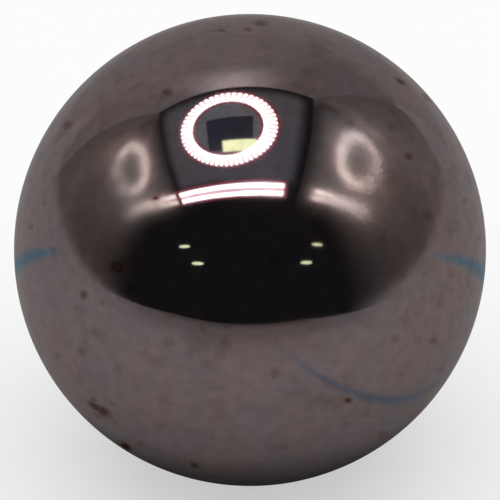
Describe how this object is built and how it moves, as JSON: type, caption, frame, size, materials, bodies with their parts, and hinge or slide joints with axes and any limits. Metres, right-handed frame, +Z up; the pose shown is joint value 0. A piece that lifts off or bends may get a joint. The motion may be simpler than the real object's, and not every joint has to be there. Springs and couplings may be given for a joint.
{
  "type": "steel ball",
  "caption": "Solid polished steel ball with a mirror finish and scattered rust specks and shallow pits; rolls loose or runs in a race, track or cup.",
  "frame": {"origin": "centre of the ball", "axes": "+Z up, away from the point that the ball is seated on; -Y towards the viewer and +X to the right, as pictured"},
  "size_m": [0.0254, 0.0254, 0.0254],
  "materials": {
    "polished_steel": "polished"
  },
  "bodies": {
    "root": {"ball": "polished_steel"}
  },
  "joints": []
}
